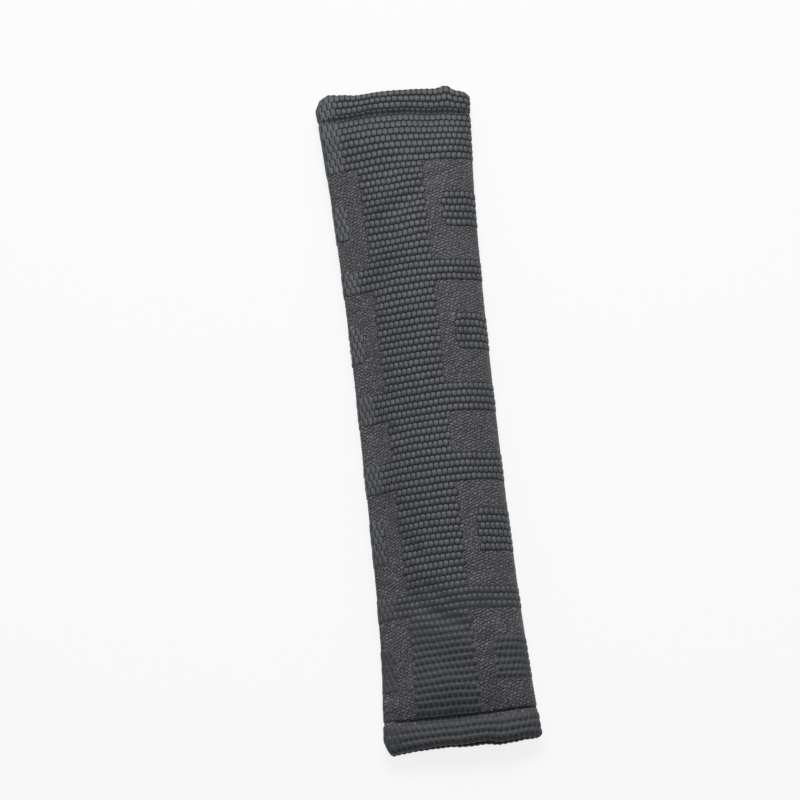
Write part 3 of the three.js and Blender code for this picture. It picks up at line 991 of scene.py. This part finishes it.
def open_cell_foam(colours):
    """Polyurethane foam, cut from a block. It gives the eye a matt grey face full of small open cells."""
    patterns = [("TexVoronoi", "Distance", {"Scale": per(1.2)}, {}, 0.8, 0.3)]
    look = {"Roughness": 0.95, "IOR": 1.5}
    # The foam's cell hollows are darkened to 45 % of its colour as painted shade.
    return grained("open_cell_polyurethane_foam", colours.foam, 0.45, patterns, look, span=(0.1, 0.45))


def fastener_tape(name, tint, roughness):
    """Woven nylon tape, its face moulded or raised into hooks or loops.

    It gives the eye a dark, grainy strip, matt with loops and with a dull gleam with hooks.
    """
    patterns = [("TexNoise", "Fac", {"Scale": per(0.625), "Detail": 3.0}, {}, 0.4, 0.1)]
    return grained(name, tint, 0.5, patterns, {"Roughness": roughness, "IOR": 1.53})


def bonded_thread(colours):
    """Three plies of polyester, twisted and bonded.

    It gives the eye small dark stitches with a slight gleam.
    """
    plies = {"Scale": WAVE_PERIOD * per(0.4), "Distortion": 0.5}
    bands = {"wave_type": "BANDS", "bands_direction": "DIAGONAL"}
    patterns = [("TexWave", "Fac", plies, bands, 0.5, 0.08)]
    look = {"Roughness": 0.45, "IOR": 1.54}
    return grained("bonded_polyester_thread", colours.sewing, 0.6, patterns, look)


def seen_directly(tree):
    """1 for the rays that show the ground itself: the camera's, and those in gloss and in glass."""
    path = add_node(tree, "LightPath")
    seen = path["Is Camera Ray"]
    for ray in ("Is Glossy Ray", "Is Transmission Ray"):
        seen = add_node(tree, "Math", {0: seen, 1: path[ray]}, operation="MAXIMUM")["Value"]
    return seen


def coated_paper(colours):
    """White studio paper. It gives the eye a plain ground, with only the pad's soft shadow on it."""
    material, tree = new_material("coated_studio_paper")
    # Without a vector, the noise spans the whole 6 m floor, so its grain is 20 mm wide.
    grain = add_node(tree, "TexNoise", {"Scale": 300.0, "Detail": 2.0})["Fac"]
    rough = add_node(tree, "MapRange", {"Value": grain, "To Min": 0.85, "To Max": 0.95})["Result"]
    paper = {"Base Color": tone(colours.paper), "Roughness": rough, "IOR": 1.45, "Specular IOR Level": 0.2}
    paper = add_node(tree, "BsdfPrincipled", paper)["BSDF"]
    white = add_node(tree, "Emission", {"Color": WHITE, "Strength": 1.0})["Emission"]
    share = add_node(tree, "Math", {0: seen_directly(tree), 1: 0.84}, operation="MULTIPLY")["Value"]
    shader = add_node(tree, "MixShader", {0: share, 1: paper, 2: white})
    add_node(tree, "OutputMaterial", {"Surface": shader["Shader"]})
    return material


# Pieces


made = {}  # the cover, which the first operator makes and the others build on

TAPE = 0.00042  # thickness of a fastener strip without its hooks or loops
SELVEDGE, SELVEDGE_RISE = 0.0007, 0.00012


class PAD_OT_cover(bpy.types.Operator):
    """Make the woven cover: its two flaps and the rolled hems at both ends."""

    bl_idname = "pad.cover"
    bl_label = "Woven cover"

    def execute(self, context):
        scene = context.scene
        cover = made["cover"] = Cover(scene.pad_sizes, scene.pad_weave)
        material = woven_polyester(scene.pad_colours, scene.pad_weave)
        for name, chosen in cover.pieces().items():
            faces, kept = part_of(cover.faces, chosen)
            piece = add_piece(
                name, cover.points[kept], faces, material, flat=cover.cloth[kept],
                values={"fine_weave": cover.fine[kept]}, normals=cover.normals[kept],
            )
            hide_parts("outer_cover")
        return {"FINISHED"}


class PAD_OT_foam(bpy.types.Operator):
    """Make the foam sheet that stuffs the pad."""

    bl_idname = "pad.foam"
    bl_label = "Foam sheet"

    COLUMNS, ROWS = 110, 190
    CELL_DEPTH, CELL_SIZE = 0.00012, 0.002
    ROUNDING = 0.0012
    RIM = 0.25  # share of the foam's thickness at its very edge

    def execute(self, context):
        sizes, sheet = context.scene.pad_sizes, made["cover"].sheet
        a, b = sheet.inner_grid(self.COLUMNS, self.ROWS)
        cells = self.CELL_DEPTH * drift(a, b, self.CELL_SIZE, FOAM_CELLS)
        top = sizes.cover_thickness + sizes.layer_gap + cells
        bottom = sheet.thickness(a, b) - sizes.lining_thickness - sizes.layer_gap
        from_side = np.minimum(a - sheet.inset, sheet.width - sheet.inset - a)
        from_side = np.clip(np.minimum(from_side, sheet.inner_half - np.abs(b)) / self.ROUNDING, 0, 1)
        share = self.RIM + (1 - self.RIM) * np.sqrt(1 - (1 - from_side) ** 2)
        middle, half = (top + bottom) / 2, (bottom - top) / 2
        points, faces = slab(sheet, a, b, middle - half * share, middle + half * share)
        material = open_cell_foam(context.scene.pad_colours)
        piece = add_piece("foam_sheet", points, faces, material)
        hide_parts("foam_pad")
        return {"FINISHED"}


class PAD_OT_lining(bpy.types.Operator):
    """Make the lining inside the fold."""

    bl_idname = "pad.lining"
    bl_label = "Lining"

    COLUMNS, ROWS = 150, 240
    RIPPLE, RIPPLE_SIZE = 0.00012, 0.016

    def execute(self, context):
        sheet = made["cover"].sheet
        a, b = sheet.inner_grid(self.COLUMNS, self.ROWS)
        face = sheet.thickness(a, b) + self.RIPPLE * drift(a, b, self.RIPPLE_SIZE, LINING_RIPPLES)
        back = sheet.thickness(a, b) - sheet.sizes.lining_thickness
        points, faces = slab(sheet, a, b, back, face)
        material = brushed_lining(context.scene.pad_colours)
        piece = add_piece("lining", points, faces, material)
        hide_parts("inner_lining")
        return {"FINISHED"}


class PAD_OT_strips(bpy.types.Operator):
    """Make the hook strip and the loop strip that close the pad."""

    bl_idname = "pad.strips"
    bl_label = "Hook and loop strips"

    COLUMNS, ROWS = 24, 260
    PITCH = 0.00155  # from one hook or loop to the next
    FIRST_ACROSS, FIRST_ALONG, LAST = 0.0013, 0.0012, 0.0010  # how far from the strip's edges they stay
    STRAY = 0.0004
    STEPS = np.linspace(0, 1, 6)  # along one hook or loop
    RADIUS, SIDES = 0.00007, 4
    HOOK_BEND, LOOP_SPAN = 0.00042, 0.0011

    def execute(self, context):
        colours, sheet = context.scene.pad_colours, made["cover"].sheet
        loops = fastener_tape("brushed_nylon_loops", colours.loops, 0.85)
        hooks = fastener_tape("moulded_nylon_hooks", colours.hooks, 0.5)
        self.strip("loop_tape", sheet, sheet.inset, loops, "loop_tape", "loop_strip", self.loop)
        start = sheet.width - sheet.inset - sheet.sizes.strip_width
        self.strip("hook_tape", sheet, start, hooks, "hook_tape", "hook_strip", self.hook)
        return {"FINISHED"}

    def strip(self, name, sheet, start, material, slot, node, curl):
        """A woven tape with rows of hooks or loops on its inner face."""
        sizes, reach = sheet.sizes, sheet.strip_half
        stop = start + sizes.strip_width
        a, b = np.meshgrid(np.linspace(start, stop, self.COLUMNS), np.linspace(-reach, reach, self.ROWS))
        outer = sheet.thickness(a, b) + sizes.layer_gap
        selvedge = np.minimum(a - start, stop - a) < SELVEDGE
        tape, tape_faces = slab(sheet, a, b, outer, outer + TAPE + SELVEDGE_RISE * selvedge)
        across = np.arange(start + self.FIRST_ACROSS, stop - self.LAST, self.PITCH)
        along = np.arange(-reach + self.FIRST_ALONG, reach - self.LAST, self.PITCH)
        a, b = (grid.ravel() for grid in np.meshgrid(across, along))
        number = np.arange(len(a))
        a = a + self.STRAY * (scatter(number, number, CURL_PLACES) - 0.5)
        base = sheet.thickness(a, b) + sizes.layer_gap + TAPE
        turns = scatter(number, number, CURL_TURNS)[:, None]
        step_across, step_along, rise = curl(self.STEPS, turns)
        depth = base[:, None] + (sizes.strip_thickness - sizes.layer_gap - TAPE) * rise
        paths = sheet.folded(a[:, None] + step_across, depth, b[:, None] + step_along)
        curls, curl_faces = threads(paths, self.RADIUS, self.SIDES)
        points = np.concatenate([tape, curls])
        piece = add_piece(name, points, np.concatenate([tape_faces, curl_faces + len(tape)]), material)
        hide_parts(node)

    def hook(self, steps, turn):
        """A stiff stalk that bends over at its top."""
        way = np.where(turn > 0.5, 1.0, -1.0)
        bend = self.HOOK_BEND * np.clip(steps * 1.5 - 0.5, 0, 1) ** 1.2
        return bend * way, np.zeros_like(bend * way), np.sin(steps * math.pi * 0.72) + 0 * way

    def loop(self, steps, turn):
        """A soft thread that leaves the tape and goes back into it."""
        angle = 2 * math.pi * turn
        span = self.LOOP_SPAN * (steps - 0.5)
        return span * np.cos(angle), span * np.sin(angle), np.sin(steps * math.pi) + 0 * angle


class PAD_OT_seams(bpy.types.Operator):
    """Make the stitches of both end seams and of the fastener strips."""

    bl_idname = "pad.seams"
    bl_label = "Stitches"

    SIDES = 6
    STEPS = np.linspace(0, 1, 9)  # along one stitch
    ARCH = np.sin(math.pi * STEPS)
    FIRST = 0.001  # from the turned edge to the first stitch
    LENGTH = 0.84  # of one stitch, as a share of the pitch
    RISE, SUNK, LEAN = 0.00055, 0.0004, 0.00022
    INSIDE_RISE = 0.8  # how much of that rise shows on the lining
    JUST_INSIDE = 0.9999  # the cover's face is read on the pad's side of the seam
    FLOAT_SHARE = 0.35  # how high in the floats a stitch lies
    STRIP_PITCH, STRIP_FIRST, STRIP_LENGTH = 0.0030, 0.002, 0.8
    STRIP_RISE, STRIP_SUNK = 0.00035, 0.0001
    STRIP_FACE = 0.00054  # from the lining's gap to the strip's raised selvedge
    STRIP_THREAD = 0.00028

    def execute(self, context):
        cover, material = made["cover"], bonded_thread(context.scene.pad_colours)
        for name, end in (("seam_far", 1.0), ("seam_near", -1.0)):
            self.end_seam(name, end, cover, material)
        self.strip_seams(cover.sheet, material)
        return {"FINISHED"}

    def end_seam(self, name, end, cover, material):
        """Stitches across the whole folded pad, on the cover's face and inside the fold."""
        sheet, edge, weave = cover.sheet, cover.sizes.edge_hem, cover.weave
        starts = np.arange(edge + self.FIRST, sheet.width - edge - weave.stitch_pitch, weave.stitch_pitch)
        a = starts[:, None] + self.LENGTH * weave.stitch_pitch * self.STEPS
        lean = scatter(np.arange(len(starts)), int(end), STITCH_LEANS)[:, None] - 0.5
        b = np.full_like(a, end * sheet.seam) + self.LEAN * lean * (1 - 2 * self.STEPS)
        face = cover.lift(a, np.full_like(a, end * sheet.seam * self.JUST_INSIDE))
        face = face + self.FLOAT_SHARE * weave.float_height - cover.pressed * sheet.underneath(a)
        rise = self.RISE * self.ARCH - self.SUNK
        shown = sheet.folded(a, -(face + rise), b)
        hidden = sheet.folded(a, sheet.thickness(a, b) + rise * self.INSIDE_RISE, b)
        paths = np.concatenate([shown, hidden])
        paths[..., 1] += cover.stray(paths[..., 0], paths[..., 1])
        paths[..., 0] = cover.spread(paths[..., 0], paths[..., 1])
        points, faces = threads(paths, weave.thread / 2, self.SIDES)
        points[:, 2] = np.maximum(points[:, 2], 0.0)
        add_piece(name, points, faces, material)

    def strip_seams(self, sheet, material):
        """A straight row of stitches near each long side of both strips."""
        sizes, pitch = sheet.sizes, self.STRIP_PITCH
        starts = np.arange(-sheet.strip_half + self.STRIP_FIRST, sheet.strip_half - pitch, pitch)
        b = starts[:, None] + self.STRIP_LENGTH * pitch * self.STEPS
        rise = self.STRIP_RISE * self.ARCH - self.STRIP_SUNK
        rows = []
        for start in (sheet.inset, sheet.width - sheet.inset - sizes.strip_width):
            for side in (SELVEDGE, sizes.strip_width - SELVEDGE):
                a = np.full_like(b, start + side)
                face = sheet.thickness(a, b) + sizes.layer_gap + self.STRIP_FACE
                rows.append(sheet.folded(a, face + rise, b))
        points, faces = threads(np.concatenate(rows), self.STRIP_THREAD / 2, self.SIDES)
        add_piece("strip_seams", points, faces, material)


class PAD_OT_stage(bpy.types.Operator):
    """Set up the white floor, the soft studio light and the camera."""

    bl_idname = "pad.stage"
    bl_label = "Floor, light and camera"

    CAMERA = (-0.03984, -0.57377, 1.95545)
    AIM = (-0.01082, 0.00714, 0.008)
    TURN = -0.0553
    LENS, SENSOR = 207.678, 36.0
    LAMP = (0.04, 0.50, 0.85)
    LAMP_SIZE, LAMP_POWER = 0.50, 4.8
    FLOOR_REACH, FLOOR_HEIGHT = 3.0, -0.0003

    def execute(self, context):
        scene = context.scene
        scene.view_settings.view_transform = "Standard"
        self.floor(scene)
        self.world(scene)
        self.lamp(scene)
        self.camera(scene)
        return {"FINISHED"}

    def floor(self, scene):
        side, height = self.FLOOR_REACH, self.FLOOR_HEIGHT
        corners = [(-side, -side, height), (side, -side, height), (side, side, height), (-side, side, height)]
        mesh = bpy.data.meshes.new("paper_floor")
        mesh.from_pydata(corners, [], [(0, 1, 2, 3)])
        mesh.materials.append(coated_paper(scene.pad_colours))
        floor = bpy.data.objects.new("paper_floor", mesh)
        scene.collection.objects.link(floor)

    def world(self, scene):
        """A room that is bright beyond the far end and darker on the photographer's side."""
        world = bpy.data.worlds.new("studio_air")
        world.use_nodes = True
        tree = world.node_tree
        tree.nodes.clear()
        way = add_node(tree, "TexCoord")["Generated"]
        beyond = add_node(tree, "SeparateXYZ", {"Vector": way})["Y"]
        room = {"Value": beyond, "From Min": -0.15, "From Max": 0.65, "To Min": 0.2, "To Max": 1.0}
        room = add_node(tree, "MapRange", room)["Result"]
        level = add_node(tree, "MapRange", {"Value": seen_directly(tree), "To Min": 0.75, "To Max": 1.0})
        strength = add_node(tree, "Math", {0: room, 1: level["Result"]}, operation="MULTIPLY")["Value"]
        air = add_node(tree, "Background", {"Color": WHITE, "Strength": strength})
        add_node(tree, "OutputWorld", {"Surface": air["Background"]})
        scene.world = world

    def lamp(self, scene):
        """A broad window-like light beyond the far end, which gives the floats their bright tips."""
        light = bpy.data.lights.new("key_light", "AREA")
        light.shape, light.size, light.energy = "DISK", self.LAMP_SIZE, self.LAMP_POWER
        lamp = bpy.data.objects.new("key_light", light)
        lamp.location = self.LAMP
        lamp.rotation_euler = (Vector(self.AIM) - Vector(self.LAMP)).to_track_quat("-Z", "Y").to_euler()
        scene.collection.objects.link(lamp)

    def camera(self, scene):
        """The camera, fitted to the pad's outline as it was photographed."""
        lens = bpy.data.cameras.new("photo_camera")
        lens.lens, lens.sensor_width = self.LENS, self.SENSOR
        camera = bpy.data.objects.new("photo_camera", lens)
        place = Vector(self.CAMERA)
        facing = (Vector(self.AIM) - place).to_track_quat("-Z", "Y").to_matrix()
        roll = Matrix.Rotation(self.TURN, 3, "Z")
        camera.matrix_world = Matrix.Translation(place) @ (facing @ roll).to_4x4()
        scene.collection.objects.link(camera)
        scene.camera = camera


class PAD_PT_panel(bpy.types.Panel):
    """The pad's sizes, colours and pieces."""

    bl_idname = "PAD_PT_panel"
    bl_label = "Shoulder pad"
    bl_space_type = "VIEW_3D"
    bl_region_type = "UI"
    bl_category = "Shoulder pad"

    def draw(self, context):
        layout = self.layout
        for group in (context.scene.pad_sizes, context.scene.pad_weave, context.scene.pad_colours):
            box = layout.box()
            for name in group.__annotations__:
                box.prop(group, name)
        for operator in OPERATORS:
            layout.operator(operator.bl_idname)


OPERATORS = (PAD_OT_cover, PAD_OT_foam, PAD_OT_lining, PAD_OT_strips, PAD_OT_seams, PAD_OT_stage)
CLASSES = (PadSizes, WeaveSizes, PadColours, *OPERATORS, PAD_PT_panel)


def register():
    for cls in CLASSES:
        bpy.utils.register_class(cls)
    bpy.types.Scene.pad_sizes = PointerProperty(type=PadSizes)
    bpy.types.Scene.pad_weave = PointerProperty(type=WeaveSizes)
    bpy.types.Scene.pad_colours = PointerProperty(type=PadColours)


def unregister():
    del bpy.types.Scene.pad_colours
    del bpy.types.Scene.pad_weave
    del bpy.types.Scene.pad_sizes
    for cls in reversed(CLASSES):
        bpy.utils.unregister_class(cls)


def main():
    register()
    bpy.ops.pad.cover()
    bpy.ops.pad.foam()
    bpy.ops.pad.lining()
    bpy.ops.pad.strips()
    bpy.ops.pad.seams()
    bpy.ops.pad.stage()


if __name__ == "__main__":
    main()
